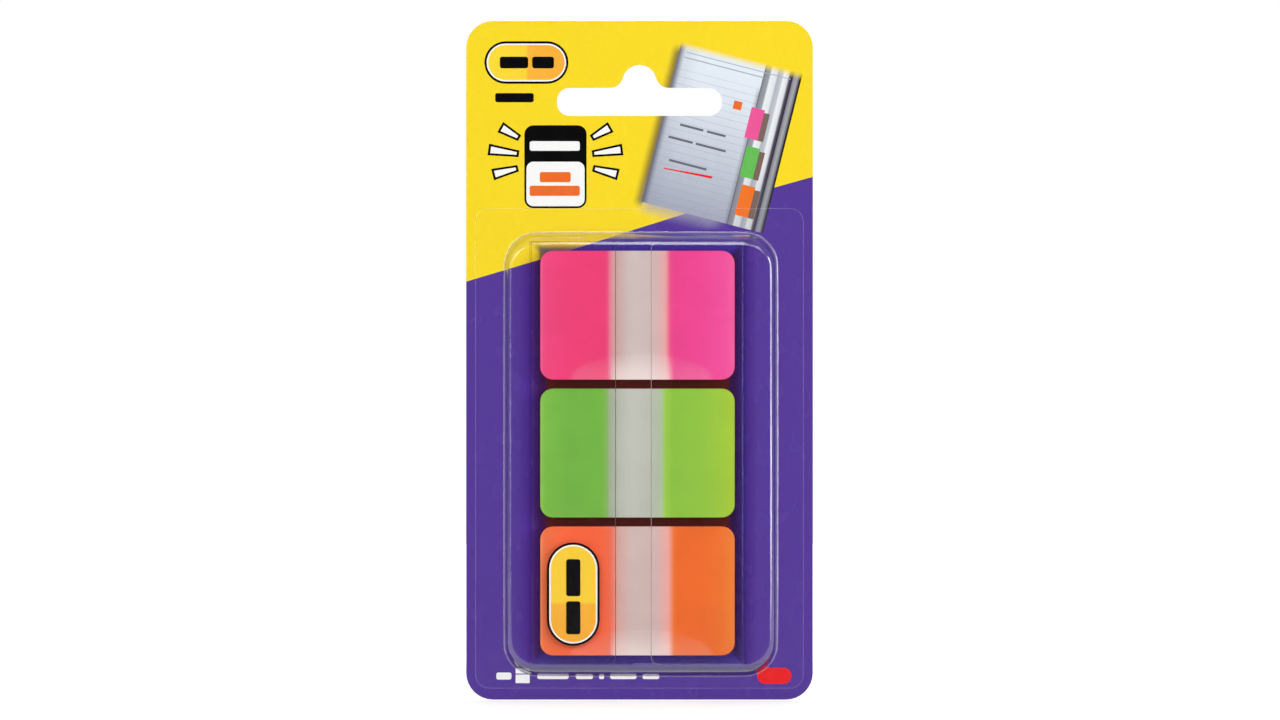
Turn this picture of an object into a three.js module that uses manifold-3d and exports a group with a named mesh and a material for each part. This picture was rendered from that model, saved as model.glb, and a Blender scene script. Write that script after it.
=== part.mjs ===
// Hanging retail pack of sticky index tabs.
// A printed board card with a hang slot carries a clear formed blister.
// Inside it, a clear folded sleeve holds three pads of twelve tabs each.
// Millimetres, +Z up, the front looks along -Y.
// The origin is where a peg carries the pack: the top of the hang slot, on the card's back.

import * as THREE from "three";
import { mergeVertices } from "three/addons/utils/BufferGeometryUtils.js";
import ManifoldModule from "manifold-3d";

const wasm = await ManifoldModule();
wasm.setup();

// Tabs: one film each, with one end coated in colour
const TAB_LENGTH = 38.1;
const TAB_HEIGHT = 25.4;
const TAB_CORNER_RADIUS = 2.5;
const TAB_THICKNESS = 0.2;
const COLOUR_END_LENGTH = 13.4;
const COAT_THICKNESS = 0.05;
const TABS_PER_PAD = 12;
const TAB_STAGGER = 0.12;
const PAD_GAP = 1.8;

// Sleeve: one clear sheet folded round the pads, open at both ends; the bend radius is inside
const SLEEVE_WALL = 0.3;
const SLEEVE_BEND_RADIUS = 0.6;
const SLEEVE_SIDE_ROOM = 1.9;
const SLEEVE_END_ROOM = 1.85;
const SLEEVE_FRONT_ROOM = 0.6;
const FLAP_GAP = 6.9;
const FLAP_GAP_SHIFT = -0.8;
const FLAP_CORNER_RADIUS = 1.6;

// Blister: one formed sheet, a shallow dome with a flat rim; the edge radius is inside
const BLISTER_WALL = 0.3;
const DOME_DEPTH = 6.5;
const DOME_TAPER = 0.6;
const DOME_CORNER_RADIUS = 6.5;
const DOME_EDGE_RADIUS = 1.0;
const DOME_FOOT_RADIUS = 0.5;
const DOME_ROOM_LEFT = 5.0;
const DOME_ROOM_RIGHT = 6.3;
const DOME_ROOM_TOP = 1.7;
const DOME_ROOM_BOTTOM = 2.2;
const RIM_LEFT = 5.8;
const RIM_RIGHT = 5.3;
const RIM_TOP = 4.9;
const RIM_BOTTOM = 2.6;
const RIM_CORNER_RADIUS = 2.7;
const SEAL_THICKNESS = 0.05;

// Card: board with one printed layer on its front
const BOARD_THICKNESS = 0.5;
const PRINT_THICKNESS = 0.05;
const CARD_CORNER_RADIUS = 5.3;
const CARD_HEADER_HEIGHT = 37.0;
const CARD_SIDE_MARGIN = 1.8;
const CARD_BOTTOM_MARGIN = 2.2;

// Hang slot: a long slot with a round hump over its middle
const HANG_MARGIN = 8.65;
const SLOT_WIDTH = 32.6;
const SLOT_HEIGHT = 5.55;
const SLOT_END_RADIUS = 2.5;
const HUMP_RADIUS = 3.4;
const HUMP_RISE = 4.55;
const HUMP_FILLET_RADIUS = 2.6;

// Where the yellow field ends on the card, down from its top edge
const FIELD_DROP_LEFT = 51.5;
const FIELD_DROP_RIGHT = 30.8;
const FIELD_SLOPE_LEFT = 0.28;
const FIELD_SLOPE_RIGHT = 0.25;

// Printed badge, from the card's left and top edges
const BADGE_LEFT = 11.5;
const BADGE_TOP = 20.6;
const BADGE_WIDTH = 12.3;
const BADGE_HEIGHT = 16.4;
const BADGE_CORNER_RADIUS = 1.8;
const BADGE_BORDER = 0.4;
const BADGE_HEADER_HEIGHT = 7.2;

// Printed oval emblem, from the card's left and top edges
const EMBLEM_LEFT = 3.6;
const EMBLEM_TOP = 4.0;
const EMBLEM_WIDTH = 16.6;
const EMBLEM_HEIGHT = 8.4;
const EMBLEM_BORDER = 0.45;

// Printed notebook picture, from the card's right and top edges
const PICTURE_RIGHT = 2.0;
const PICTURE_TOP = 4.2;
const PAGE_WIDTH = 16.8;
const PAGE_HEIGHT = 31.5;
const PAGE_LEAN = 0.25;
const PAGE_DROP = 0.26;
const LEAVES_WIDTH = 5.5;
const COVER_WIDTH = 1.7;
const PICTURE_TAB_WIDTH = 2.6;
const PICTURE_TAB_HEIGHT = 6.0;
const PICTURE_TAB_FIRST = 8.6;
const PICTURE_TAB_PITCH = 7.4;
const PICTURE_TAB_STEP = 0.9;
const PICTURE_TAB_OVERLAP = 0.7;

// Printed red mark, from the card's right and bottom edges
const MARK_RIGHT = 4.2;
const MARK_BOTTOM = 3.1;
const MARK_WIDTH = 6.8;
const MARK_HEIGHT = 3.2;

// Oval label on the sleeve's left flap, in front of the lowest pad
const LABEL_WIDTH = 10.4;
const LABEL_HEIGHT = 20.4;
const LABEL_BORDER = 0.45;
const LABEL_THICKNESS = 0.05;
const LABEL_FLAP_SHIFT = -0.2;
const LABEL_PAD_SHIFT = -0.6;

// Steps in a quarter arc, and how far a cut runs past what it cuts
const ARC_STEPS = 8;
const TAB_ARC_STEPS = 6;
const CUT_OVERRUN = 1;

// Sizes that follow from the ones above
const PAD_COLOURS = ["pink", "green", "orange"];
const PAD_PITCH = TAB_HEIGHT + PAD_GAP;
const PADS_HEIGHT = PAD_COLOURS.length * PAD_PITCH - PAD_GAP;
const PAD_THICKNESS = TABS_PER_PAD * TAB_THICKNESS;
const SLEEVE_WIDTH = TAB_LENGTH + 2 * (SLEEVE_SIDE_ROOM + SLEEVE_WALL);
const SLEEVE_HEIGHT = PADS_HEIGHT + 2 * SLEEVE_END_ROOM;
const SLEEVE_DEPTH = PAD_THICKNESS + SLEEVE_FRONT_ROOM + 2 * SLEEVE_WALL;
const DOME_WIDTH = DOME_ROOM_LEFT + SLEEVE_WIDTH + DOME_ROOM_RIGHT;
const DOME_HEIGHT = DOME_ROOM_BOTTOM + SLEEVE_HEIGHT + DOME_ROOM_TOP;
const RIM_WIDTH = RIM_LEFT + DOME_WIDTH + RIM_RIGHT;
const RIM_HEIGHT = RIM_BOTTOM + DOME_HEIGHT + RIM_TOP;
const CARD_WIDTH = RIM_WIDTH + 2 * CARD_SIDE_MARGIN;
const CARD_HEIGHT = CARD_HEADER_HEIGHT + RIM_HEIGHT + CARD_BOTTOM_MARGIN;

// Places on the card's face: x to the right of the peg, y above it
const CARD_LEFT = -CARD_WIDTH / 2;
const CARD_RIGHT = CARD_WIDTH / 2;
const CARD_TOP = HANG_MARGIN;
const CARD_BOTTOM = CARD_TOP - CARD_HEIGHT;
const RIM_X = CARD_LEFT + CARD_SIDE_MARGIN + RIM_WIDTH / 2;
const RIM_Y = CARD_BOTTOM + CARD_BOTTOM_MARGIN + RIM_HEIGHT / 2;
const DOME_X = RIM_X + (RIM_LEFT - RIM_RIGHT) / 2;
const DOME_Y = RIM_Y + (RIM_BOTTOM - RIM_TOP) / 2;
const SLEEVE_X = DOME_X + (DOME_ROOM_LEFT - DOME_ROOM_RIGHT) / 2;
const SLEEVE_Y = DOME_Y + (DOME_ROOM_BOTTOM - DOME_ROOM_TOP) / 2;

// Depths in front of the card's back
const PRINT_FRONT = BOARD_THICKNESS + PRINT_THICKNESS;
const BLISTER_BACK = PRINT_FRONT + SEAL_THICKNESS;
const PAD_BACK = PRINT_FRONT + SLEEVE_WALL;
const SLEEVE_FRONT = PRINT_FRONT + SLEEVE_DEPTH;

function finish(colour, roughness, opacity = 1) {
  return new THREE.MeshStandardMaterial({
    color: colour,
    roughness,
    metalness: 0,
    transparent: opacity < 1,
    opacity,
  });
}

const clearPlastic = finish(0xe8eef2, 0.08, 0.22);
const pads = {
  pink: { front: finish(0xef3f78, 0.4), behind: finish(0xef4498, 0.4) },
  green: { front: finish(0x76b843, 0.4), behind: finish(0x93c83d, 0.4) },
  orange: { front: finish(0xf4673b, 0.4), behind: finish(0xf47a30, 0.4) },
};
const frostedFilm = finish(0xd8cac5, 0.5, 0.35);
const paleFilm = finish(0xd3c5c1, 0.5);
const boardStock = finish(0xdad7cf, 0.9);
const ink = {
  purple: finish(0x5b3e98, 0.35),
  yellow: finish(0xfcdd2b, 0.35),
  black: finish(0x0b0a0c, 0.35),
  white: finish(0xffffff, 0.35),
  amber: finish(0xfcb53a, 0.35),
  page: finish(0xdde4ee, 0.4),
  leaves: finish(0xb9c0cc, 0.4),
  cover: finish(0x4c4a55, 0.4),
  red: finish(0xf02020, 0.35),
};

// Closed meshes in and out of the boolean library

function toSolid(geometry) {
  const bare = geometry.clone();
  bare.deleteAttribute("normal");
  bare.deleteAttribute("uv");
  const merged = mergeVertices(bare, 1e-5);
  return new wasm.Manifold(
    new wasm.Mesh({
      numProp: 3,
      vertProperties: new Float32Array(merged.attributes.position.array),
      triVerts: new Uint32Array(merged.index.array),
    }),
  );
}

function toGeometry(solid) {
  const mesh = solid.getMesh();
  const geometry = new THREE.BufferGeometry();
  geometry.setAttribute("position", new THREE.BufferAttribute(mesh.vertProperties, 3));
  geometry.setIndex(new THREE.BufferAttribute(mesh.triVerts, 1));
  geometry.computeVertexNormals();
  return geometry;
}

// Outlines

function roundedRectangle(x, y, width, height, radius) {
  const r = Math.min(radius, width / 2, height / 2);
  const halfWidth = width / 2 - r;
  const halfHeight = height / 2 - r;
  const shape = new THREE.Shape();
  shape.moveTo(x + halfWidth, y - halfHeight - r);
  shape.absarc(x + halfWidth, y - halfHeight, r, -Math.PI / 2, 0, false);
  shape.absarc(x + halfWidth, y + halfHeight, r, 0, Math.PI / 2, false);
  shape.absarc(x - halfWidth, y + halfHeight, r, Math.PI / 2, Math.PI, false);
  shape.absarc(x - halfWidth, y - halfHeight, r, Math.PI, 1.5 * Math.PI, false);
  return shape;
}

function polygon(points) {
  return new THREE.Shape(points.map(([x, y]) => new THREE.Vector2(x, y)));
}

function slab(shape, back, thickness, arcSteps = ARC_STEPS) {
  const geometry = new THREE.ExtrudeGeometry(shape, {
    depth: thickness,
    bevelEnabled: false,
    curveSegments: arcSteps / 2,
  });
  geometry.translate(0, 0, back);
  return geometry;
}

function hangSlotOutline() {
  const endRadius = Math.min(SLOT_END_RADIUS, SLOT_HEIGHT / 2);
  const top = -HUMP_RISE;
  const bottom = top - SLOT_HEIGHT;
  const straight = SLOT_WIDTH / 2 - endRadius;
  const humpY = -HUMP_RADIUS;
  const filletY = top + HUMP_FILLET_RADIUS;
  const reach = HUMP_RADIUS + HUMP_FILLET_RADIUS;
  const filletX = Math.sqrt(reach ** 2 - (filletY - humpY) ** 2);
  const touch = Math.atan2(filletY - humpY, filletX);
  const quarter = Math.PI / 2;
  const shape = new THREE.Shape();
  shape.moveTo(-straight, bottom);
  shape.lineTo(straight, bottom);
  shape.absarc(straight, bottom + endRadius, endRadius, -quarter, 0, false);
  shape.absarc(straight, top - endRadius, endRadius, 0, quarter, false);
  shape.lineTo(filletX, top);
  shape.absarc(filletX, filletY, HUMP_FILLET_RADIUS, -quarter, touch - Math.PI, true);
  shape.absarc(0, humpY, HUMP_RADIUS, touch, Math.PI - touch, false);
  shape.absarc(-filletX, filletY, HUMP_FILLET_RADIUS, -touch, -quarter, true);
  shape.lineTo(-straight, top);
  shape.absarc(-straight, top - endRadius, endRadius, quarter, Math.PI, false);
  shape.absarc(-straight, bottom + endRadius, endRadius, Math.PI, 3 * quarter, false);
  return shape;
}

function fieldOutline() {
  const left = CARD_LEFT - CUT_OVERRUN;
  const right = CARD_RIGHT + CUT_OVERRUN;
  const above = CARD_TOP + CUT_OVERRUN;
  const third = CARD_WIDTH / 3;
  const startY = CARD_TOP - FIELD_DROP_LEFT;
  const endY = CARD_TOP - FIELD_DROP_RIGHT;
  const shape = new THREE.Shape();
  shape.moveTo(right, above);
  shape.lineTo(left, above);
  shape.lineTo(left, startY);
  shape.lineTo(CARD_LEFT, startY);
  shape.bezierCurveTo(
    CARD_LEFT + third,
    startY + third * FIELD_SLOPE_LEFT,
    CARD_RIGHT - third,
    endY - third * FIELD_SLOPE_RIGHT,
    CARD_RIGHT,
    endY,
  );
  shape.lineTo(right, endY);
  return shape;
}

// The notebook's page leans: its sides run down to the left, its top edge down to the right
function leaningPoint(across, down) {
  const originX = CARD_RIGHT - PICTURE_RIGHT - COVER_WIDTH - LEAVES_WIDTH - PAGE_WIDTH;
  const originY = CARD_TOP - PICTURE_TOP;
  return [
    originX + across - PAGE_LEAN * down,
    originY - down - PAGE_DROP * across,
  ];
}

function leaningBox(left, right, top, bottom) {
  return polygon([
    leaningPoint(left, bottom),
    leaningPoint(right, bottom),
    leaningPoint(right, top),
    leaningPoint(left, top),
  ]);
}

// Card and its printed layer

const slotCut = toSolid(
  slab(hangSlotOutline(), -CUT_OVERRUN, PRINT_FRONT + 2 * CUT_OVERRUN),
);

function cardOutline() {
  const middle = (CARD_TOP + CARD_BOTTOM) / 2;
  return roundedRectangle(0, middle, CARD_WIDTH, CARD_HEIGHT, CARD_CORNER_RADIUS);
}

function makeBoard() {
  return toSolid(slab(cardOutline(), 0, BOARD_THICKNESS)).subtract(slotCut);
}

// The fields lie side by side in one layer: each one is knocked out of those listed before it
function printedFields() {
  const badgeX = CARD_LEFT + BADGE_LEFT + BADGE_WIDTH / 2;
  const badgeY = CARD_TOP - BADGE_TOP - BADGE_HEIGHT / 2;
  const windowHeight = BADGE_HEIGHT - BADGE_HEADER_HEIGHT - BADGE_BORDER;
  const windowY = badgeY - BADGE_HEIGHT / 2 + BADGE_BORDER + windowHeight / 2;
  const emblemX = CARD_LEFT + EMBLEM_LEFT + EMBLEM_WIDTH / 2;
  const emblemY = CARD_TOP - EMBLEM_TOP - EMBLEM_HEIGHT / 2;
  const leavesRight = PAGE_WIDTH + LEAVES_WIDTH;
  const fields = [
    ["print_purple", ink.purple, cardOutline()],
    ["print_yellow", ink.yellow, fieldOutline()],
    [
      "picture_cover",
      ink.cover,
      leaningBox(leavesRight, leavesRight + COVER_WIDTH, 0, PAGE_HEIGHT),
    ],
    ["picture_leaves", ink.leaves, leaningBox(PAGE_WIDTH, leavesRight, 0, PAGE_HEIGHT)],
    ["picture_page", ink.page, leaningBox(0, PAGE_WIDTH, 0, PAGE_HEIGHT)],
    [
      "badge_frame",
      ink.black,
      roundedRectangle(badgeX, badgeY, BADGE_WIDTH, BADGE_HEIGHT, BADGE_CORNER_RADIUS),
    ],
    [
      "badge_window",
      ink.white,
      roundedRectangle(
        badgeX,
        windowY,
        BADGE_WIDTH - 2 * BADGE_BORDER,
        windowHeight,
        BADGE_CORNER_RADIUS - BADGE_BORDER,
      ),
    ],
    [
      "emblem_rim",
      ink.black,
      roundedRectangle(emblemX, emblemY, EMBLEM_WIDTH, EMBLEM_HEIGHT, EMBLEM_HEIGHT / 2),
    ],
    [
      "emblem_face",
      ink.amber,
      roundedRectangle(
        emblemX,
        emblemY,
        EMBLEM_WIDTH - 2 * EMBLEM_BORDER,
        EMBLEM_HEIGHT - 2 * EMBLEM_BORDER,
        EMBLEM_HEIGHT / 2 - EMBLEM_BORDER,
      ),
    ],
    [
      "red_mark",
      ink.red,
      roundedRectangle(
        CARD_RIGHT - MARK_RIGHT - MARK_WIDTH / 2,
        CARD_BOTTOM + MARK_BOTTOM + MARK_HEIGHT / 2,
        MARK_WIDTH,
        MARK_HEIGHT,
        MARK_HEIGHT / 2,
      ),
    ],
  ];
  PAD_COLOURS.forEach((colour, index) => {
    const left = PAGE_WIDTH - PICTURE_TAB_OVERLAP + index * PICTURE_TAB_STEP;
    const top = PICTURE_TAB_FIRST + index * PICTURE_TAB_PITCH;
    fields.push([
      `picture_tab_${colour}`,
      pads[colour].front,
      leaningBox(left, left + PICTURE_TAB_WIDTH, top, top + PICTURE_TAB_HEIGHT),
    ]);
  });
  return fields;
}

function addPrint(parent) {
  const area = toSolid(slab(cardOutline(), BOARD_THICKNESS, PRINT_THICKNESS)).subtract(slotCut);
  const made = printedFields().map(([name, material, shape]) => {
    const whole = toSolid(slab(shape, BOARD_THICKNESS, PRINT_THICKNESS)).intersect(area);
    return { name, material, solid: whole };
  });
  made.forEach((field, index) => {
    const later = made.slice(index + 1).map((other) => other.solid);
    const shown = later.reduce((rest, other) => rest.subtract(other), field.solid);
    addMesh(parent, field.name, toGeometry(shown), field.material);
  });
}

// Blister: rings round the dome and rim, from the outer face's middle to the inner face's middle

function ring(x, y, width, height, radius, depth) {
  const points = [];
  for (let corner = 0; corner < 4; corner += 1) {
    const sideX = corner === 0 || corner === 3 ? 1 : -1;
    const sideY = corner < 2 ? 1 : -1;
    const centreX = x + sideX * (width / 2 - radius);
    const centreY = y + sideY * (height / 2 - radius);
    for (let step = 0; step <= ARC_STEPS; step += 1) {
      const angle = (corner + step / ARC_STEPS) * (Math.PI / 2);
      points.push([
        centreX + radius * Math.cos(angle),
        centreY + radius * Math.sin(angle),
        depth,
      ]);
    }
  }
  return points;
}

function shellOfRings(rings, firstMiddle, lastMiddle) {
  const count = rings[0].length;
  const positions = [...rings.flat(), firstMiddle, lastMiddle].flat();
  const first = rings.length * count;
  const last = first + 1;
  const index = [];
  for (let i = 0; i < count; i += 1) {
    const next = (i + 1) % count;
    index.push(first, i, next);
    for (let j = 0; j < rings.length - 1; j += 1) {
      const a = j * count + i;
      const b = j * count + next;
      const c = (j + 1) * count + next;
      const d = (j + 1) * count + i;
      index.push(a, d, c, a, c, b);
    }
    const end = (rings.length - 1) * count;
    index.push(end + i, last, end + next);
  }
  const geometry = new THREE.BufferGeometry();
  geometry.setAttribute("position", new THREE.Float32BufferAttribute(positions, 3));
  geometry.setIndex(index);
  geometry.computeVertexNormals();
  return geometry;
}

// One wall profile, as inset from the dome's base outline and height above the rim's back
function domeProfile(outer) {
  const wallRun = DOME_DEPTH - BLISTER_WALL;
  const turn = Math.PI / 2 - Math.atan2(DOME_TAPER, wallRun);
  const footReach = DOME_FOOT_RADIUS * Math.tan(turn / 2);
  const edgeReach = (DOME_EDGE_RADIUS + BLISTER_WALL) * Math.tan(turn / 2);
  const footRadius = DOME_FOOT_RADIUS + (outer ? 0 : BLISTER_WALL);
  const edgeRadius = DOME_EDGE_RADIUS + (outer ? BLISTER_WALL : 0);
  const footHeight = BLISTER_WALL + DOME_FOOT_RADIUS;
  const edgeInset = DOME_TAPER + edgeReach;
  const edgeHeight = DOME_DEPTH - BLISTER_WALL - DOME_EDGE_RADIUS;
  const steps = ARC_STEPS / 2;
  const profile = [];
  for (let step = steps; step >= 0; step -= 1) {
    const angle = (turn * (steps - step)) / steps;
    profile.push([
      edgeInset - edgeRadius * Math.sin(angle),
      edgeHeight + edgeRadius * Math.cos(angle),
    ]);
  }
  for (let step = steps; step >= 0; step -= 1) {
    const angle = (turn * step) / steps;
    profile.push([
      -footReach + footRadius * Math.sin(angle),
      footHeight - footRadius * Math.cos(angle),
    ]);
  }
  return profile;
}

function makeBlister() {
  const domeRing = ([inset, height]) =>
    ring(
      DOME_X,
      DOME_Y,
      DOME_WIDTH - 2 * inset,
      DOME_HEIGHT - 2 * inset,
      DOME_CORNER_RADIUS - inset,
      BLISTER_BACK + height,
    );
  const rimRing = (height) =>
    ring(RIM_X, RIM_Y, RIM_WIDTH, RIM_HEIGHT, RIM_CORNER_RADIUS, BLISTER_BACK + height);
  const rings = [
    ...domeProfile(true).map(domeRing),
    rimRing(BLISTER_WALL),
    rimRing(0),
    ...domeProfile(false).reverse().map(domeRing),
  ];
  const front = BLISTER_BACK + DOME_DEPTH;
  return shellOfRings(
    rings,
    [DOME_X, DOME_Y, front],
    [DOME_X, DOME_Y, front - BLISTER_WALL],
  );
}

// Sleeve: its section is drawn in x and depth, and runs up the pack

function sleeveTube(shrink, height) {
  const depth = SLEEVE_DEPTH - 2 * shrink;
  const section = roundedRectangle(
    0,
    0,
    SLEEVE_WIDTH - 2 * shrink,
    depth,
    SLEEVE_BEND_RADIUS + SLEEVE_WALL - shrink,
  );
  const geometry = slab(section, -height / 2, height);
  geometry.rotateX(-Math.PI / 2);
  geometry.translate(SLEEVE_X, SLEEVE_Y, PRINT_FRONT + SLEEVE_DEPTH / 2);
  return toSolid(geometry);
}

// The gap between the flaps widens at both ends, where the flaps' corners are round
function flapGapOutline() {
  const middle = SLEEVE_X + FLAP_GAP_SHIFT;
  const left = middle - FLAP_GAP / 2;
  const right = middle + FLAP_GAP / 2;
  const top = SLEEVE_Y + SLEEVE_HEIGHT / 2;
  const bottom = SLEEVE_Y - SLEEVE_HEIGHT / 2;
  const r = FLAP_CORNER_RADIUS;
  const quarter = Math.PI / 2;
  const shape = new THREE.Shape();
  shape.moveTo(left - r, top + CUT_OVERRUN);
  shape.lineTo(left - r, top);
  shape.absarc(left - r, top - r, r, quarter, 0, true);
  shape.absarc(left - r, bottom + r, r, 0, -quarter, true);
  shape.lineTo(left - r, bottom - CUT_OVERRUN);
  shape.lineTo(right + r, bottom - CUT_OVERRUN);
  shape.lineTo(right + r, bottom);
  shape.absarc(right + r, bottom + r, r, 3 * quarter, 2 * quarter, true);
  shape.absarc(right + r, top - r, r, 2 * quarter, quarter, true);
  shape.lineTo(right + r, top + CUT_OVERRUN);
  return shape;
}

function makeSleeve() {
  const outer = sleeveTube(0, SLEEVE_HEIGHT);
  const inner = sleeveTube(SLEEVE_WALL, SLEEVE_HEIGHT + 2 * CUT_OVERRUN);
  const gapBack = SLEEVE_FRONT - SLEEVE_WALL - SLEEVE_FRONT_ROOM / 2;
  const gap = toSolid(slab(flapGapOutline(), gapBack, SLEEVE_DEPTH));
  return outer.subtract(inner).subtract(gap);
}

// Tabs: each is turned end for end against the one below it

function tabOutline(x, y) {
  return roundedRectangle(x, y, TAB_LENGTH, TAB_HEIGHT, TAB_CORNER_RADIUS);
}

function colourEnd(x, y, side) {
  const edge = x + side * (TAB_LENGTH / 2 - COLOUR_END_LENGTH);
  const past = x + side * (TAB_LENGTH / 2 + CUT_OVERRUN);
  const half = TAB_HEIGHT / 2 + CUT_OVERRUN;
  return polygon([
    [edge, y - half],
    [past, y - half],
    [past, y + half],
    [edge, y + half],
  ]);
}

// The coat is sunk in the film's front, so the tabs lie flat on each other
function coatedTab(x, y, back, side) {
  const coatBack = back + TAB_THICKNESS - COAT_THICKNESS;
  const layer = slab(tabOutline(x, y), coatBack, COAT_THICKNESS, TAB_ARC_STEPS);
  const end = slab(colourEnd(x, y, side), coatBack, COAT_THICKNESS);
  const coat = toSolid(layer).intersect(toSolid(end));
  const film = slab(tabOutline(x, y), back, TAB_THICKNESS, TAB_ARC_STEPS);
  return { film: toSolid(film).subtract(coat), coat };
}

// Only the front two tabs of a pad show their coats, so only these are pieces of their own
function addPad(parent, colour, y) {
  const tints = pads[colour];
  for (let number = 1; number <= TABS_PER_PAD; number += 1) {
    const covering = TABS_PER_PAD - number;
    const side = covering % 2 === 0 ? -1 : 1;
    const x = SLEEVE_X + side * TAB_STAGGER;
    const back = PAD_BACK + (number - 1) * TAB_THICKNESS;
    const name = `${colour}_tab_${String(number).padStart(2, "0")}`;
    if (covering === 0) {
      const { film, coat } = coatedTab(x, y, back, side);
      addMesh(parent, name, toGeometry(film), frostedFilm);
      addMesh(parent, `${colour}_coat_front`, toGeometry(coat), tints.front);
    } else if (covering === 1) {
      const { film, coat } = coatedTab(x, y, back, side);
      addMesh(parent, name, toGeometry(film), paleFilm);
      addMesh(parent, `${colour}_coat_behind`, toGeometry(coat), tints.behind);
    } else {
      const film = slab(tabOutline(x, y), back, TAB_THICKNESS, TAB_ARC_STEPS);
      addMesh(parent, name, film, side < 0 ? tints.front : tints.behind);
    }
  }
}

// Label on the left flap

function addLabel(parent, padY) {
  const flapLeft = SLEEVE_X - SLEEVE_WIDTH / 2 + SLEEVE_BEND_RADIUS;
  const flapRight = SLEEVE_X + FLAP_GAP_SHIFT - FLAP_GAP / 2;
  const x = (flapLeft + flapRight) / 2 + LABEL_FLAP_SHIFT;
  const y = padY + LABEL_PAD_SHIFT;
  const faceWidth = LABEL_WIDTH - 2 * LABEL_BORDER;
  const faceHeight = LABEL_HEIGHT - 2 * LABEL_BORDER;
  const whole = roundedRectangle(x, y, LABEL_WIDTH, LABEL_HEIGHT, LABEL_WIDTH / 2);
  const middle = roundedRectangle(x, y, faceWidth, faceHeight, faceWidth / 2);
  const face = toSolid(slab(middle, SLEEVE_FRONT, LABEL_THICKNESS));
  const rim = toSolid(slab(whole, SLEEVE_FRONT, LABEL_THICKNESS)).subtract(face);
  addMesh(parent, "label_rim", toGeometry(rim), ink.black);
  addMesh(parent, "label_face", toGeometry(face), ink.amber);
}

function addMesh(parent, name, geometry, material) {
  const mesh = new THREE.Mesh(geometry, material);
  mesh.name = name;
  parent.add(mesh);
  return mesh;
}

// Everything is drawn on the card's face, with depth towards the viewer, then stood upright
const group = new THREE.Group();
const face = new THREE.Group();
face.rotation.x = Math.PI / 2;
group.add(face);

addMesh(face, "backing_card", toGeometry(makeBoard()), boardStock);
addPrint(face);
addMesh(face, "blister", makeBlister(), clearPlastic);
addMesh(face, "dispenser_sleeve", toGeometry(makeSleeve()), clearPlastic);

const topPadY = SLEEVE_Y + (PADS_HEIGHT - TAB_HEIGHT) / 2;
PAD_COLOURS.forEach((colour, index) => addPad(face, colour, topPadY - index * PAD_PITCH));
addLabel(face, topPadY - (PAD_COLOURS.length - 1) * PAD_PITCH);

export default group;
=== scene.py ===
import math

import bmesh
import bpy
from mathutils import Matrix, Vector


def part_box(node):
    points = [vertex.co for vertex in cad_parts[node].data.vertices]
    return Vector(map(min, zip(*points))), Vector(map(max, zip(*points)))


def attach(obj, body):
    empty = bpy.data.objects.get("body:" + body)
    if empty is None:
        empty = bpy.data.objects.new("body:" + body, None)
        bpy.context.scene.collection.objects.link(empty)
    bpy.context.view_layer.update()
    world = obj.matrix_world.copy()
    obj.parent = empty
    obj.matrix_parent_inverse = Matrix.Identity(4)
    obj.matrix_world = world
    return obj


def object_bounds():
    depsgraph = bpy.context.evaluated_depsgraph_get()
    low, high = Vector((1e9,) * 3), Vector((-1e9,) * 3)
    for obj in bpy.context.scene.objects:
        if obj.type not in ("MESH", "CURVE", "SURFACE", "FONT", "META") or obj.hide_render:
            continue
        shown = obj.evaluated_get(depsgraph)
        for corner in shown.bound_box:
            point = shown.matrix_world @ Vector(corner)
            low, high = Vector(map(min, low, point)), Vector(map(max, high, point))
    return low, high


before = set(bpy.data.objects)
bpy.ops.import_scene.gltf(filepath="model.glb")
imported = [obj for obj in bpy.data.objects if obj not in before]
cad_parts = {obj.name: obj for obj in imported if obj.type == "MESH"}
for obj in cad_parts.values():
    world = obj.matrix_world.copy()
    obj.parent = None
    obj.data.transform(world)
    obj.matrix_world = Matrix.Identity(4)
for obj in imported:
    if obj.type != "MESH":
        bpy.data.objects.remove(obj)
bounds_at_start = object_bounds()

# Units and places. Lengths are in millimetres until a vertex is made: x to the right, z up from the top of
# the hang slot, depth toward the viewer. Angles are in degrees.

MM = 0.001
PRINT_FRONT = 0.55
MARK_THICKNESS = 0.025
MARK_FRONT = PRINT_FRONT + MARK_THICKNESS
TOUCH_ALLOWANCE = 0.02
SLEEVE_LIFT = 0.04
CUT_EDGE_RADIUS = 0.12
CUT_EDGE_SEGMENTS = 3
CUT_EDGE_ANGLE = 50
SMOOTH_ANGLE = 35
WELD_DISTANCE = 0.002
TABS_PER_PAD = 12
PAD_CENTRE_X = -0.4
PADS_CENTRE_Z = -76.7
PADS_HALF_WIDTH = 19.05
PADS_HALF_HEIGHT = 39.9
RIM_FRONT_DEPTH = 0.915
DOME_FOOT_DEPTH = 1.2
DOME_FRONT_DEPTH = 7.1
DOME_CENTRE = (0.1, -77.0)
DOME_LEAN = (0.1 / 26.5, 1.2 / 43.0)
DOME_LEAN_POWER = 4.0
DOME_SUBDIVISIONS = 2
PICTURE_ORIGIN = (8.25, 4.45)
PICTURE_LEAN = 0.25
PICTURE_DROP = 0.26
PICTURE_PAGE = 16.8
PICTURE_LEAVES = 5.5
PICTURE_COVER = 1.7
RULE_PITCH = 1.42
RULE_HALF_WEIGHT = 0.09
TOP_FADE = 1.4
BADGE_MIDDLE = (-16.6, -18.6)

# Colours

PURPLE = "573C9A"
YELLOW = "FCDD2A"
# Painted shade in the gaps between the pads.
PAINTED_SHADE_BETWEEN_PADS = "6B1E06"
BINDING_SHADE = "3A2E3C"
FOOT_SHADE = "A5A4BA"
WHITE_LIGHT = (1.0, 1.0, 1.0, 1.0)
NOISE_LOW = 0.3
NOISE_HIGH = 0.7


def channel(value):
    return value / 12.92 if value <= 0.04045 else ((value + 0.055) / 1.055) ** 2.4


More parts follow.
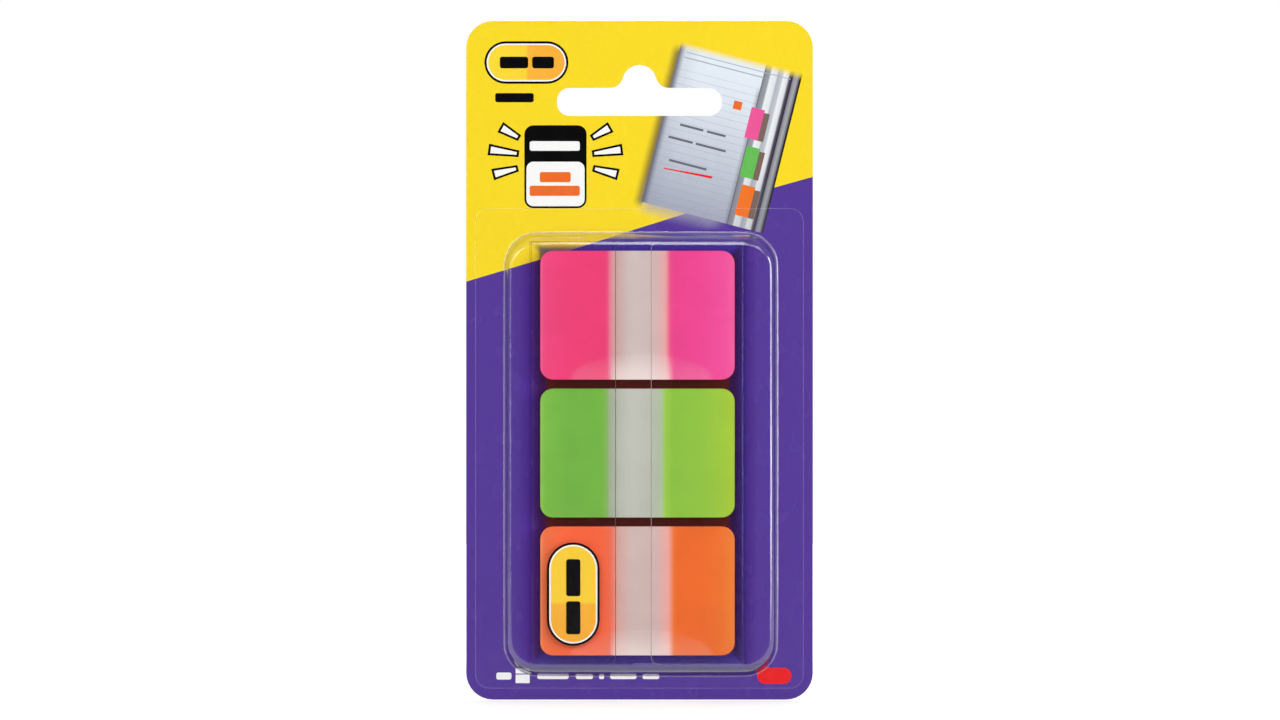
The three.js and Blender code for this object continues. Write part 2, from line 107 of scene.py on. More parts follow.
def colour(code):
    return tuple(channel(int(code[i : i + 2], 16) / 255) for i in (0, 2, 4)) + (1.0,)


def coloured(stops):
    return [(at, colour(code)) for at, code in stops]


# Node materials


def add_node(tree, kind, inputs=None, **settings):
    """A shader node with its settings and its inputs, which are values or other nodes' outputs."""
    made = tree.nodes.new("ShaderNode" + kind)
    for key, value in settings.items():
        setattr(made, key, value)
    for key, value in (inputs or {}).items():
        if isinstance(value, bpy.types.NodeSocket):
            tree.links.new(value, made.inputs[key])
        else:
            made.inputs[key].default_value = value
    return made


class Shader:
    def __init__(self, name):
        self.material = bpy.data.materials.new(name)
        self.material.use_nodes = True
        self.tree = self.material.node_tree
        self.tree.nodes.clear()

    def node(self, kind, inputs=None, **settings):
        return add_node(self.tree, kind, inputs, **settings)

    def place(self):
        """The point on the piece, in millimetres."""
        point = self.node("TexCoord").outputs["Object"]
        return self.node("VectorMath", {0: point, 1: (1 / MM,) * 3}, operation="MULTIPLY").outputs[0]

    def math(self, operation, first, second=0.0, third=0.0):
        return self.node("Math", {0: first, 1: second, 2: third}, operation=operation).outputs[0]

    def times(self, first, second):
        return self.math("MULTIPLY", first, second)

    def axis(self, vector, name):
        return self.node("SeparateXYZ", {0: vector}).outputs[name]

    def along(self, vector, direction, start):
        """How far a point is along a direction."""
        reach = self.node("VectorMath", {0: vector, 1: direction}, operation="DOT_PRODUCT")
        return self.math("ADD", reach.outputs["Value"], start)

    def span(self, value, low, high, start=0.0, end=1.0, smooth=True):
        """From start to end as the value goes from low to high, and level beyond."""
        kind = "SMOOTHSTEP" if smooth else "LINEAR"
        return self.node(
            "MapRange",
            {"Value": value, "From Min": low, "From Max": high, "To Min": start, "To Max": end},
            interpolation_type=kind,
        ).outputs[0]

    def pulse(self, value, stops, peak=1.0):
        """Rises from 0 to the peak between the first two stops and falls back between the last two."""
        return self.times(self.span(value, *stops[:2]), self.span(value, *stops[2:], peak, 0.0))

    def vary(self, noise, first, second):
        """A number that wanders between two values with a noise."""
        return self.span(noise, NOISE_LOW, NOISE_HIGH, first, second)

    def ramp(self, value, stops):
        """Colours by value, from stops of (value, colour)."""
        low, high = stops[0][0], stops[-1][0]
        fraction = self.span(value, low, high, smooth=False)
        made = self.node("ValToRGB", {0: fraction})
        elements = made.color_ramp.elements
        while len(elements) < len(stops):
            elements.new(0.5)
        for element, (at, tint) in zip(elements, stops):
            element.position = (at - low) / (high - low)
            element.color = tint
        return made.outputs["Color"]

    def noise(self, vector, scale, detail=2.0, roughness=0.5, stretch=None):
        if stretch:
            vector = self.node("VectorMath", {0: vector, 1: stretch}, operation="MULTIPLY").outputs[0]
        return self.node(
            "TexNoise", {"Vector": vector, "Scale": scale, "Detail": detail, "Roughness": roughness}
        ).outputs[0]

    def mix(self, factor, first, second):
        """The first colour, turning into the second one by the factor."""
        made = self.tree.nodes.new("ShaderNodeMix")
        made.data_type = "RGBA"
        for index, value in ((0, factor), (6, first), (7, second)):
            socket = made.inputs[index]
            if isinstance(value, bpy.types.NodeSocket):
                self.tree.links.new(value, socket)
            else:
                socket.default_value = value
        return made.outputs[2]

    def toned(self, tint, tone):
        """A colour made lighter or darker by a factor."""
        if not isinstance(tint, bpy.types.NodeSocket):
            tint = tint[:3]
        return self.node("VectorMath", {0: tint, "Scale": tone}, operation="SCALE").outputs[0]

    def bump(self, height, distance, strength):
        return self.node(
            "Bump", {"Height": height, "Distance": distance * MM, "Strength": strength}
        ).outputs[0]

    def principled(self, inputs):
        return self.node("BsdfPrincipled", inputs).outputs[0]

    def finish(self, surface):
        output = self.node("OutputMaterial", {"Surface": surface})
        output.is_active_output = True
        return self.material


def picture_across(shader, place):
    """How far a point is to the right of the printed page's left edge."""
    scale = 1 / (1 + PICTURE_LEAN * PICTURE_DROP)
    start = (-PICTURE_ORIGIN[0] + PICTURE_LEAN * PICTURE_ORIGIN[1]) * scale
    return shader.along(place, (scale, 0.0, -PICTURE_LEAN * scale), start)


def picture_down(shader, place, across):
    """How far a point is below the printed page's top edge."""
    fall = shader.along(place, (0.0, 0.0, -1.0), PICTURE_ORIGIN[1])
    return shader.math("SUBTRACT", fall, shader.times(across, PICTURE_DROP))


def ink_surface(shader, place, tint):
    """Varnished print on board: fine mottle, a soft orange-peel skin and streaks in the gloss."""
    mottle = shader.noise(place, 2.6, 3.0, 0.6)
    cloud = shader.noise(place, 0.07, 2.0)
    tint = shader.toned(tint, shader.times(shader.vary(mottle, 1.0, 0.975), shader.vary(cloud, 0.99, 1.0)))
    streaks = shader.noise(place, 0.25, 2.0, 0.5, (1.0, 1.0, 0.6))
    skin = shader.noise(place, 1.4, 2.0, 0.4)
    return shader.principled(
        {
            "Base Color": tint,
            "Roughness": shader.vary(streaks, 0.21, 0.29),
            "IOR": 1.45,
            "Specular IOR Level": 0.16,
            "Normal": shader.bump(skin, 0.002, 0.5),
        }
    )


def ink(name, code):
    shader = Shader(name)
    place = shader.place()
    return shader.finish(ink_surface(shader, place, colour(code)))


SHADE_REACH = (3.6, 5.0)
SHADE_TURN = 1.2
BETWEEN_REACH = (-1.6, -0.4)
BETWEEN_DEPTH = 0.92


def painted_pad_shade(shader, place, tint, shade_side_stops, shade_end_stops):
    """Painted shade: the print round and between the pads is darkened where shade falls there. The side
    stops go by x, the end stops by the distance above or below the pads."""
    sideways = shader.math("ABSOLUTE", shader.along(place, (1.0, 0.0, 0.0), -PAD_CENTRE_X))
    sideways = shader.math("SUBTRACT", sideways, PADS_HALF_WIDTH)
    upward = shader.math("ABSOLUTE", shader.along(place, (0.0, 0.0, 1.0), -PADS_CENTRE_Z))
    upward = shader.math("SUBTRACT", upward, PADS_HALF_HEIGHT)
    beside = shader.ramp(shader.axis(place, "X"), coloured(shade_side_stops))
    beyond = shader.ramp(upward, coloured(shade_end_stops))
    more_sideways = shader.math("SUBTRACT", sideways, upward)
    more_sideways = shader.span(more_sideways, -SHADE_TURN, SHADE_TURN)
    away = shader.math("MAXIMUM", sideways, upward)
    shaded = shader.mix(more_sideways, beyond, beside)
    tint = shader.mix(shader.span(away, *SHADE_REACH, 1.0, 0.0), tint, shaded)
    between = shader.span(away, *BETWEEN_REACH, BETWEEN_DEPTH, 0.0)
    return shader.mix(between, tint, colour(PAINTED_SHADE_BETWEEN_PADS))


BINDING_ACROSS = (-1.9, -0.05, 0.2, 0.4)
BINDING_DOWN = (0.0, 2.4, 31.0, 33.0)
FOOT_ACROSS = (-1.0, 2.0, 13.5, 17.0)
FOOT_DOWN = (26.0, 28.0, 30.8, 34.6)


def page_fade(shader, place, tint):
    """The picture's soft edges, printed over the fields round it."""
    across = picture_across(shader, place)
    down = picture_down(shader, place, across)
    beside = shader.times(shader.pulse(across, BINDING_ACROSS), shader.pulse(down, BINDING_DOWN, 0.72))
    tint = shader.mix(beside, tint, colour(BINDING_SHADE))
    below = shader.times(shader.pulse(across, FOOT_ACROSS), shader.pulse(down, FOOT_DOWN, 0.75))
    return shader.mix(below, tint, colour(FOOT_SHADE))


def purple_ink():
    shader = Shader("ink_purple_field")
    place = shader.place()
    # Painted shade: the purple darkens beside the pads, by x, and above and below them, by distance.
    shade_side_stops = [
        (-24.6, PURPLE),
        (-22.6, "55349E"),
        (-21.6, "502A98"),
        (-20.6, "491F7A"),
        (-19.5, "42145C"),
        (18.7, "341350"),
        (19.6, "361C66"),
        (20.6, "3C2786"),
        (22.0, "503290"),
        (24.0, "593C9C"),
    ]
    shade_end_stops = [(0.1, "412C9A"), (1.7, "493698"), (3.0, "5138A0"), (5.0, PURPLE)]
    tint = page_fade(shader, place, colour(PURPLE))
    tint = painted_pad_shade(shader, place, tint, shade_side_stops, shade_end_stops)
    return shader.finish(ink_surface(shader, place, tint))


def yellow_ink():
    shader = Shader("ink_yellow_field")
    place = shader.place()
    # Painted shade: the yellow darkens beside the pads, by x, and above them, by distance.
    shade_side_stops = [(-21.0, "FCDD2B"), (-20.2, "E8C92C"), (-19.5, "8A743A"), (19.0, "8A743A")]
    shade_end_stops = [(0.1, "665A70"), (0.6, "8C7A50"), (1.3, "E0C53A"), (2.2, "FADB2D")]
    tint = page_fade(shader, place, colour(YELLOW))
    tint = painted_pad_shade(shader, place, tint, shade_side_stops, shade_end_stops)
    return shader.finish(ink_surface(shader, place, tint))


def top_fade(shader, down, tint):
    """The picture's top edge fades into the yellow field."""
    return shader.mix(shader.span(down, 0.0, TOP_FADE, 0.8, 0.0), tint, colour(YELLOW))


def page_ink():
    """A printed picture of a ruled page: it darkens toward the binding and the foot."""
    shader = Shader("ink_page_picture")
    place = shader.place()
    across = picture_across(shader, place)
    down = picture_down(shader, place, across)
    stops = [(0.0, "E9F1FA"), (9.0, "E0E8F2"), (18.0, "CDD4E0"), (25.0, "BBC1CF"), (31.5, "A6ABBD")]
    tint = shader.ramp(down, coloured(stops))
    turned = shader.math("FRACT", shader.math("DIVIDE", down, RULE_PITCH))
    off_centre = shader.math("ABSOLUTE", shader.math("SUBTRACT", turned, 0.5))
    rule = shader.span(off_centre, 0.0, RULE_HALF_WEIGHT, 0.34, 0.0)
    rule = shader.times(rule, shader.span(down, 4.6, 5.2))
    tint = shader.mix(rule, tint, colour("8B93A5"))
    binding = shader.span(across, 0.0, 1.5, 0.9, 0.0)
    tint = shader.mix(binding, tint, colour("4A4258"))
    hollow = shader.span(across, 0.8, 5.0, 0.22, 0.0)
    tint = shader.mix(hollow, tint, colour("9097AA"))
    edge = shader.span(across, PICTURE_PAGE - 0.9, PICTURE_PAGE, 0.0, 0.55)
    edge = shader.times(edge, shader.span(down, 4.0, 6.0))
    tint = shader.mix(edge, tint, colour("7D828E"))
    return shader.finish(ink_surface(shader, place, top_fade(shader, down, tint)))


def banded_ink(name, start, width, bands):
    """A printed picture of leaves seen edge on, as bands across the block."""
    shader = Shader(name)
    place = shader.place()
    across = picture_across(shader, place)
    down = picture_down(shader, place, across)
    stops = [(start + at * width, colour(code)) for at, code in bands]
    tint = shader.ramp(across, stops)
    foot = shader.span(down, 14.0, 31.0, 0.0, 0.25)
    tint = shader.mix(foot, tint, colour("6E7078"))
    return shader.finish(ink_surface(shader, place, top_fade(shader, down, tint)))


def graded_ink(name, axis, stops):
    shader = Shader(name)
    place = shader.place()
    tint = shader.ramp(shader.axis(place, axis), coloured(stops))
    return shader.finish(ink_surface(shader, place, tint))


def board_stock():
    """Grey-white board: pressed fibres, flecks and a slightly rough skin."""
    shader = Shader("board_stock")
    place = shader.place()
    fibres = shader.noise(place, 1.1, 5.0, 0.7, (1.0, 1.0, 0.35))
    flecks = shader.noise(place, 5.5, 2.0, 0.5)
    tint = shader.mix(shader.span(fibres, 0.35, 0.7), colour("E2DED3"), colour("C9C3B4"))
    tint = shader.mix(shader.span(flecks, 0.66, 0.72, 0.0, 0.5), tint, colour("8E8473"))
    cloud = shader.noise(place, 0.05, 2.0)
    tint = shader.mix(shader.vary(cloud, 0.0, 0.12), tint, colour("B9B2A2"))
    height = shader.math("ADD", fibres, shader.times(flecks, 0.4))
    return shader.finish(
        shader.principled(
            {
                "Base Color": tint,
                "Roughness": shader.vary(fibres, 0.78, 0.95),
                "Normal": shader.bump(height, 0.03, 0.5),
            }
        )
    )


SLOPE_FACING = 0.1
SLOPE_MIRROR = 0.1
GRAZING_POWER = 3.0
GRAZING_FALL = (0.7, 0.95, 1.0, 0.3)
INSIDE_MIRROR = 0.25
SECOND_MIRROR = 0.1
FOOT_HIGHLIGHT_DEPTHS = (0.92, 1.02, 1.2, 1.4)


def clear_film(name, reflectance, shine, wave, edge_tint, foot_highlight=0.0):
    """Thin clear sheet: light goes straight through, and it mirrors more the flatter it is looked at."""
    shader = Shader(name)
    place = shader.place()
    facing = shader.node("LayerWeight", {"Blend": 0.5}).outputs["Facing"]
    sloped = shader.span(facing, 0.0, SLOPE_FACING, 0.0, SLOPE_MIRROR)
    held_back = shader.span(facing, *GRAZING_FALL)
    grazing = shader.times(shader.math("POWER", facing, GRAZING_POWER), held_back)
    mirror = shader.math("MULTIPLY_ADD", shader.math("ADD", sloped, grazing), shine, reflectance)
    inside = shader.node("NewGeometry").outputs["Backfacing"]
    in_gloss = shader.node("LightPath").outputs["Is Glossy Ray"]
    for case, share in ((inside, INSIDE_MIRROR), (in_gloss, SECOND_MIRROR)):
        mirror = shader.times(mirror, shader.span(case, 0.0, 1.0, 1.0, share, smooth=False))
    tint = shader.ramp(
        facing,
        [
            (0.0, WHITE_LIGHT),
            (0.55, (0.97, 0.97, 0.98, 1.0)),
            (0.85, edge_tint),
            (1.0, tuple(0.6 * part for part in edge_tint[:3]) + (1.0,)),
        ],
    )
    ripple = shader.noise(place, 0.06, 2.0, 0.4)
    grain = shader.noise(place, 3.0, 2.0, 0.5)
    height = shader.math("ADD", ripple, shader.times(grain, 0.01))
    gloss = shader.principled(
        {
            "Base Color": WHITE_LIGHT,
            "Metallic": 1.0,
            "Roughness": shader.vary(grain, 0.12, 0.16),
            "Normal": shader.bump(height, wave, 1.0),
        }
    )
    # Painted shade: the sheet lets through less where it faces down, so its lower walls look darker.
    downward = shader.axis(shader.node("NewGeometry").outputs["Normal"], "Z")
    tint = shader.toned(tint, shader.span(downward, -0.95, -0.25, 0.5, 1.0))
    clear = shader.node("BsdfTransparent", {"Color": tint}).outputs[0]
    mixed = shader.node("MixShader", {0: mirror, 1: clear, 2: gloss}).outputs[0]
    # Painted highlight: a pale surface along the foot of the dome, on the faces that do not face down.
    if foot_highlight:
        depth = shader.along(place, (0.0, -1.0, 0.0), 0.0)
        painted_highlight = shader.pulse(depth, FOOT_HIGHLIGHT_DEPTHS)
        painted_highlight = shader.times(painted_highlight, shader.span(downward, -0.5, -0.1, 0.1, foot_highlight))
        painted_highlight = shader.times(painted_highlight, shader.vary(grain, 0.9, 1.0))
        rough = shader.vary(grain, 0.3, 0.4)
        pale = shader.principled({"Base Color": colour("E6E2F2"), "Roughness": rough})
        mixed = shader.node("MixShader", {0: painted_highlight, 1: mixed, 2: pale}).outputs[0]
    return shader.finish(mixed)


FLAP_MIDDLE = -1.2
FLAP_FALL = (4.0, 6.0, 1.0, 0.25)
COVER_SPREAD = 0.06


def sheet_edge(name, stops, cover, flap=False):
    """The cut edge of a clear sheet: it scatters light and hides part of what is behind it. A flap's edge
    is fainter away from the middle, where the flaps nearly meet."""
    shader = Shader(name)
    place = shader.place()
    grain = shader.noise(place, 4.0, 2.0)
    tint = shader.ramp(shader.axis(place, "X"), coloured(stops))
    tint = shader.toned(tint, shader.vary(grain, 0.9, 1.05))
    solid = shader.principled({"Base Color": tint, "Roughness": shader.vary(grain, 0.3, 0.5)})
    clear = shader.node("BsdfTransparent", {"Color": WHITE_LIGHT}).outputs[0]
    amount = shader.vary(grain, cover - COVER_SPREAD, cover + COVER_SPREAD)
    if flap:
        middle = shader.math("ABSOLUTE", shader.along(place, (1.0, 0.0, 0.0), -FLAP_MIDDLE))
        amount = shader.times(amount, shader.span(middle, *FLAP_FALL))
    return shader.finish(shader.node("MixShader", {0: amount, 1: clear, 2: solid}).outputs[0])


# Each pad's front by x: its left coat, the clear band, the far end of the band and the coat behind.
PAD_TINTS = {
    "pink": {
        "left": [
            (-19.6, "F3568A"), (-18.6, "F0467F"), (-14.0, "EE3D77"),
            (-7.0, "EE3C74"), (-6.1, "EC5485"),
        ],
        "band": [
            (-6.1, "EC6790"), (-5.3, "DA989B"), (-4.2, "CCA8A5"),
            (-2.4, "D0BBB8"), (-1.2, "D1C0BC"), (1.2, "CFBDB9"),
        ],
        "far": [(3.4, "D7B5B3"), (5.1, "E9A5A7"), (6.0, "EF5289")],
        "right": [(6.8, "ED418D"), (12.0, "EF4493"), (17.0, "F0509B"), (18.7, "F2609F")],
    },
    "green": {
        "left": [
            (-19.6, "90C64C"), (-18.6, "7BBC45"), (-14.0, "72B444"),
            (-7.4, "74B642"), (-6.1, "8EB368"),
        ],
        "band": [
            (-6.1, "9AB184"), (-5.3, "A7B09D"), (-4.2, "B5BAAB"),
            (-2.4, "C0C2B7"), (-1.2, "C3C4BA"), (1.2, "BDBFB5"),
        ],
        "far": [(3.4, "B4BEAA"), (4.5, "ABC495"), (5.1, "9CCC48")],
        "right": [(6.6, "8BC13E"), (12.0, "8FC33F"), (16.0, "9CC83D"), (18.7, "ABCC3B")],
    },
    "orange": {
        "left": [
            (-19.6, "F68A4C"), (-18.6, "F57042"), (-14.0, "FF673B"),
            (-8.5, "FF663C"), (-6.1, "FB6C47"),
        ],
        "band": [
            (-6.1, "F36B4D"), (-5.2, "F47C67"), (-4.3, "D9A69F"),
            (-2.4, "D5B6B2"), (-1.2, "D3BBB7"), (1.2, "D2B9B4"),
        ],
        "far": [(3.4, "D7B7B5"), (5.7, "F2A89E"), (6.7, "F27836")],
        "right": [(7.4, "F16B26"), (12.0, "F16A26"), (16.0, "F1722A"), (18.7, "F48436")],
    },
}
PAD_FOOT = {"pink": -62.2, "orange": -116.6}
FRONT_END_EDGE = (-6.27, -5.87)
BEHIND_END_EDGE = {"pink": 5.55, "green": 4.95, "orange": 6.25}
END_BLUR = 0.4
PAD_LEFT = -19.6
PAD_RIGHT = 18.7
# Where the painted reflection at the pads' feet lies.
SHEEN_CENTRE_X = 0.4
SHEEN_HALF_WIDTH = 14.5
SHEEN_HEIGHT = 5.2
END_SHOWING = 0.72


def tinted_stops(pad, *runs):
    return [stop for run in runs for stop in coloured(PAD_TINTS[pad][run])]


def painted_foot_reflection(shader, place, tint, pad):
    """Painted reflection at the pad's foot: the film is made paler in a low arc, most where it is clear.
    """
    if pad not in PAD_FOOT:
        return tint
    side = shader.math("ABSOLUTE", shader.along(place, (1.0, 0.0, 0.0), -SHEEN_CENTRE_X))
    height = shader.along(place, (0.0, 0.0, 1.0), -PAD_FOOT[pad])
    side_part = shader.math("POWER", shader.math("DIVIDE", side, SHEEN_HALF_WIDTH), 2.0)
    rise = shader.math("MAXIMUM", shader.math("DIVIDE", height, SHEEN_HEIGHT), 0.0)
    reach = shader.math("ADD", side_part, shader.math("POWER", rise, 2.0))
    amount = shader.span(reach, 0.8, 1.05, 1.0, 0.0)
    amount = shader.times(amount, shader.span(side, 5.0, 6.6, 1.0, 0.16))
    amount = shader.times(amount, shader.span(height, 0.0, SHEEN_HEIGHT, 0.5, 0.1))
    return shader.mix(amount, tint, colour("FFF0EC"))


def film_surface(shader, place, tint):
    """Polyester film with a soft sheen, faint rub marks and slightly wavy skin."""
    haze = shader.noise(place, 0.16, 3.0, 0.55)
    tint = shader.toned(tint, shader.vary(haze, 1.03, 0.97))
    rubs = shader.noise(place, 1.2, 3.0, 0.6, (0.4, 1.0, 1.0))
    wave = shader.noise(place, 0.12, 2.0, 0.4)
    height = shader.math("ADD", wave, shader.times(rubs, 0.05))
    return shader.principled(
        {
            "Base Color": tint,
            "Roughness": shader.vary(rubs, 0.3, 0.42),
            "IOR": 1.45,
            "Specular IOR Level": 0.3,
            "Normal": shader.bump(height, 0.03, 0.5),
        }
    )


def coat_material(name, pad, end):
    shader = Shader(name)
    place = shader.place()
    tint = shader.ramp(shader.axis(place, "X"), tinted_stops(pad, end))
    return shader.finish(film_surface(shader, place, painted_foot_reflection(shader, place, tint, pad)))


def front_film_material(pad):
    """The front tab beyond its coat: frosted film, with the coat behind it showing at the far end."""
    shader = Shader(f"film_{pad}_front_tab")
    place = shader.place()
    tint = shader.ramp(shader.axis(place, "X"), tinted_stops(pad, "band", "far", "right"))
    return shader.finish(film_surface(shader, place, painted_foot_reflection(shader, place, tint, pad)))


def inner_tab_material(pad, end):
    """A tab in the stack: coloured at one end, and clear film with the next tab's colour at the other."""
    pale = colour("D6CBC6")
    tints = {"left": colour(PAD_TINTS[pad]["left"][2][1]), "right": colour(PAD_TINTS[pad]["right"][1][1])}
    clear = "right" if end == "left" else "left"
    tints[clear] = tuple(END_SHOWING * a + (1 - END_SHOWING) * b for a, b in zip(tints[clear], pale))
    shader = Shader(f"film_{pad}_{end}_coat")
    place = shader.place()
    stops = [
        (PAD_LEFT, tints["left"]),
        (FRONT_END_EDGE[0], tints["left"]),
        (FRONT_END_EDGE[1], pale),
        (BEHIND_END_EDGE[pad] - END_BLUR, pale),
        (BEHIND_END_EDGE[pad], tints["right"]),
        (PAD_RIGHT, tints["right"]),
    ]
    tint = shader.ramp(shader.axis(place, "X"), stops)
    return shader.finish(film_surface(shader, place, tint))


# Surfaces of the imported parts


def geometry_group(name):
    """A node group that takes a mesh in and gives one out, with its two end nodes."""
    group = bpy.data.node_groups.new(name, "GeometryNodeTree")
    for way in ("INPUT", "OUTPUT"):
        group.interface.new_socket("Geometry", in_out=way, socket_type="NodeSocketGeometry")
    return group, group.nodes.new("NodeGroupInput"), group.nodes.new("NodeGroupOutput")


def more_than(group, value, limit):
    made = group.nodes.new("FunctionNodeCompare")
    made.data_type = "FLOAT"
    made.operation = "GREATER_THAN"
    made.inputs[1].default_value = limit
    group.links.new(value, made.inputs[0])
    return made.outputs["Result"]


def position_parts(group):
    split = group.nodes.new("ShaderNodeSeparateXYZ")
    group.links.new(group.nodes.new("GeometryNodeInputPosition").outputs[0], split.inputs[0])
    return split.outputs


def smooth_surface():
    """Welds a part's facets and shades the shallow edges smooth."""
    group, source, target = geometry_group("smooth_surface")
    nodes, links = group.nodes, group.links
    weld = nodes.new("GeometryNodeMergeByDistance")
    weld.inputs["Distance"].default_value = WELD_DISTANCE * MM
    drop = nodes.new("GeometryNodeRemoveAttribute")
    drop.inputs["Name"].default_value = "custom_normal"
    faces = nodes.new("GeometryNodeSetShadeSmooth")
    faces.domain = "FACE"
    edges = nodes.new("GeometryNodeSetShadeSmooth")
    edges.domain = "EDGE"
    edges.inputs["Shade Smooth"].default_value = False
    angle = nodes.new("GeometryNodeInputMeshEdgeAngle").outputs["Unsigned Angle"]
    links.new(source.outputs[0], weld.inputs["Geometry"])
    links.new(weld.outputs["Geometry"], drop.inputs["Geometry"])
    links.new(drop.outputs["Geometry"], faces.inputs["Geometry"])
    links.new(faces.outputs["Geometry"], edges.inputs["Geometry"])
    links.new(more_than(group, angle, math.radians(SMOOTH_ANGLE)), edges.inputs["Selection"])
    links.new(edges.outputs["Geometry"], target.inputs[0])
    return group


SMOOTH_SURFACE = smooth_surface()


def dress(name, material):
    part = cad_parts[name]
    part.data.materials.clear()
    part.data.materials.append(material)
    part.modifiers.new("smooth", "NODES").node_group = SMOOTH_SURFACE
    return part


def cut_edge(part, material):
    """Rounds the cut edges of a sheet and gives them a finish of their own."""
    edge = part.modifiers.new("edge", "BEVEL")
    edge.width = CUT_EDGE_RADIUS * MM
    edge.segments = CUT_EDGE_SEGMENTS
    edge.limit_method = "ANGLE"
    edge.angle_limit = math.radians(CUT_EDGE_ANGLE)
    edge.use_clamp_overlap = False
    edge.material = 1
    part.data.materials.append(material)


def clear_of_print(part):
    """Lifts the sheet's back wall a hair off the print that it touches."""
    group, source, target = geometry_group("clear_of_print")
    touching = more_than(group, position_parts(group)["Y"], -(PRINT_FRONT + TOUCH_ALLOWANCE) * MM)
    lift = group.nodes.new("GeometryNodeSetPosition")
    lift.inputs["Offset"].default_value = (0.0, -SLEEVE_LIFT * MM, 0.0)
    group.links.new(source.outputs[0], lift.inputs["Geometry"])
    group.links.new(touching, lift.inputs["Selection"])
    group.links.new(lift.outputs[0], target.inputs[0])
    part.modifiers.new("clearance", "NODES").node_group = group


def soften_shoulders(part):
    """Rounds the dome's facets and leans its walls in toward its front. The rim stays flat."""
    group, source, target = geometry_group("soft_shoulders")
    nodes, links = group.nodes, group.links

    def math_node(operation, first, second):
        made = nodes.new("ShaderNodeMath")
        made.operation = operation
        for socket, value in zip(made.inputs, (first, second)):
            if isinstance(value, bpy.types.NodeSocket):
                links.new(value, socket)
            else:
                socket.default_value = value
        return made.outputs[0]

    parts = position_parts(group)
    height = math_node("SUBTRACT", math_node("MULTIPLY", parts["Y"], -1.0), DOME_FOOT_DEPTH * MM)
    height = math_node("DIVIDE", height, (DOME_FRONT_DEPTH - DOME_FOOT_DEPTH) * MM)
    lean = math_node("POWER", math_node("MAXIMUM", height, 0.0), DOME_LEAN_POWER)
    shift = nodes.new("ShaderNodeCombineXYZ")
    for axis, centre, amount in zip("XZ", DOME_CENTRE, DOME_LEAN):
        offset = math_node("SUBTRACT", parts[axis], centre * MM)
        inward = math_node("MULTIPLY", offset, -amount)
        links.new(math_node("MULTIPLY", inward, lean), shift.inputs[axis])
    rounder = nodes.new("GeometryNodeSubdivisionSurface")
    rounder.inputs["Level"].default_value = DOME_SUBDIVISIONS
    links.new(source.outputs[0], rounder.inputs["Mesh"])
    links.new(more_than(group, parts["Y"], -RIM_FRONT_DEPTH * MM), rounder.inputs["Edge Crease"])
    move = nodes.new("GeometryNodeSetPosition")
    links.new(rounder.outputs["Mesh"], move.inputs["Geometry"])
    links.new(shift.outputs[0], move.inputs["Offset"])
    links.new(move.outputs[0], target.inputs[0])
    part.modifiers.new("shoulders", "NODES").node_group = group


# Added pieces


def finish_mesh(name, bm, material):
    bmesh.ops.recalc_face_normals(bm, faces=bm.faces)
    mesh = bpy.data.meshes.new(name)
    bm.to_mesh(mesh)
    bm.free()
    piece = bpy.data.objects.new(name, mesh)
    bpy.context.collection.objects.link(piece)
    mesh.materials.append(material)
    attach(piece, "root")
    return piece


def vertex_ring(bm, outline, depth):
    return [bm.verts.new((x * MM, -depth * MM, z * MM)) for x, z in outline]


def plates(name, outlines, back, front, material):
    """Thin solid plates, one for each outline of (x, z) points."""
    bm = bmesh.new()
    for outline in outlines:
        behind = vertex_ring(bm, outline, back)
        ahead = vertex_ring(bm, outline, front)
        bm.faces.new(ahead)
        bm.faces.new(list(reversed(behind)))
        for index in range(len(outline)):
            after = (index + 1) % len(outline)
            bm.faces.new((ahead[index], ahead[after], behind[after], behind[index]))
    return finish_mesh(name, bm, material)


def band(name, outer, inner, back, front, material):
    """A thin solid band between two outlines with the same number of points."""
    bm = bmesh.new()
    rings = [
        vertex_ring(bm, outer, back),
        vertex_ring(bm, outer, front),
        vertex_ring(bm, inner, front),
        vertex_ring(bm, inner, back),
    ]
    for first, second in zip(rings, rings[1:] + rings[:1]):
        for index in range(len(outer)):
            after = (index + 1) % len(outer)
            bm.faces.new((first[index], first[after], second[after], second[index]))
    return finish_mesh(name, bm, material)


def rounded(left, right, top, bottom, radius, steps=6):
    """A rounded rectangle as an outline, anticlockwise from its lower right corner."""
    least_flat = 0.001
    radius = min(radius, (right - left) / 2 - least_flat, (top - bottom) / 2 - least_flat)
    corners = (
        (right - radius, bottom + radius, -90),
        (right - radius, top - radius, 0),
        (left + radius, top - radius, 90),
        (left + radius, bottom + radius, 180),
    )
    outline = []
    for x, z, start in corners:
        for step in range(steps + 1):
            angle = math.radians(start + 90 * step / steps)
            outline.append((x + radius * math.cos(angle), z + radius * math.sin(angle)))
    return outline


def stroke(start, end, start_width, end_width):
    """A straight tapered stroke with cut ends."""
    along = Vector(end) - Vector(start)
    side = Vector((-along.y, along.x)).normalized()
    a, b = Vector(start), Vector(end)
    points = (
        a - side * start_width / 2,
        b - side * end_width / 2,
        b + side * end_width / 2,
        a + side * start_width / 2,
    )
    return [tuple(point) for point in points]


def leaning(across, down):
    """A point of the printed picture, from its place on the page."""
    return (
        PICTURE_ORIGIN[0] + across - PICTURE_LEAN * down,
        PICTURE_ORIGIN[1] - down - PICTURE_DROP * across,
    )


def leaning_box(left, right, top, bottom):
    return [leaning(left, bottom), leaning(right, bottom), leaning(right, top), leaning(left, top)]


def mirrored(outline, middle):
    return [(2 * middle - x, z) for x, z in reversed(outline)]


# Finishes

black = ink("ink_black_plate", "050405")
white = ink("ink_white_plate", "FBFBFA")
orange = ink("ink_orange_plate", "F0702A")
red = ink("ink_red_plate", "F01F24")
grey = ink("ink_grey_plate", "6A6E7A")
pale_grey = ink("ink_pale_grey_plate", "AEB5C2")
brown = ink("ink_brown_plate", "7D675F")

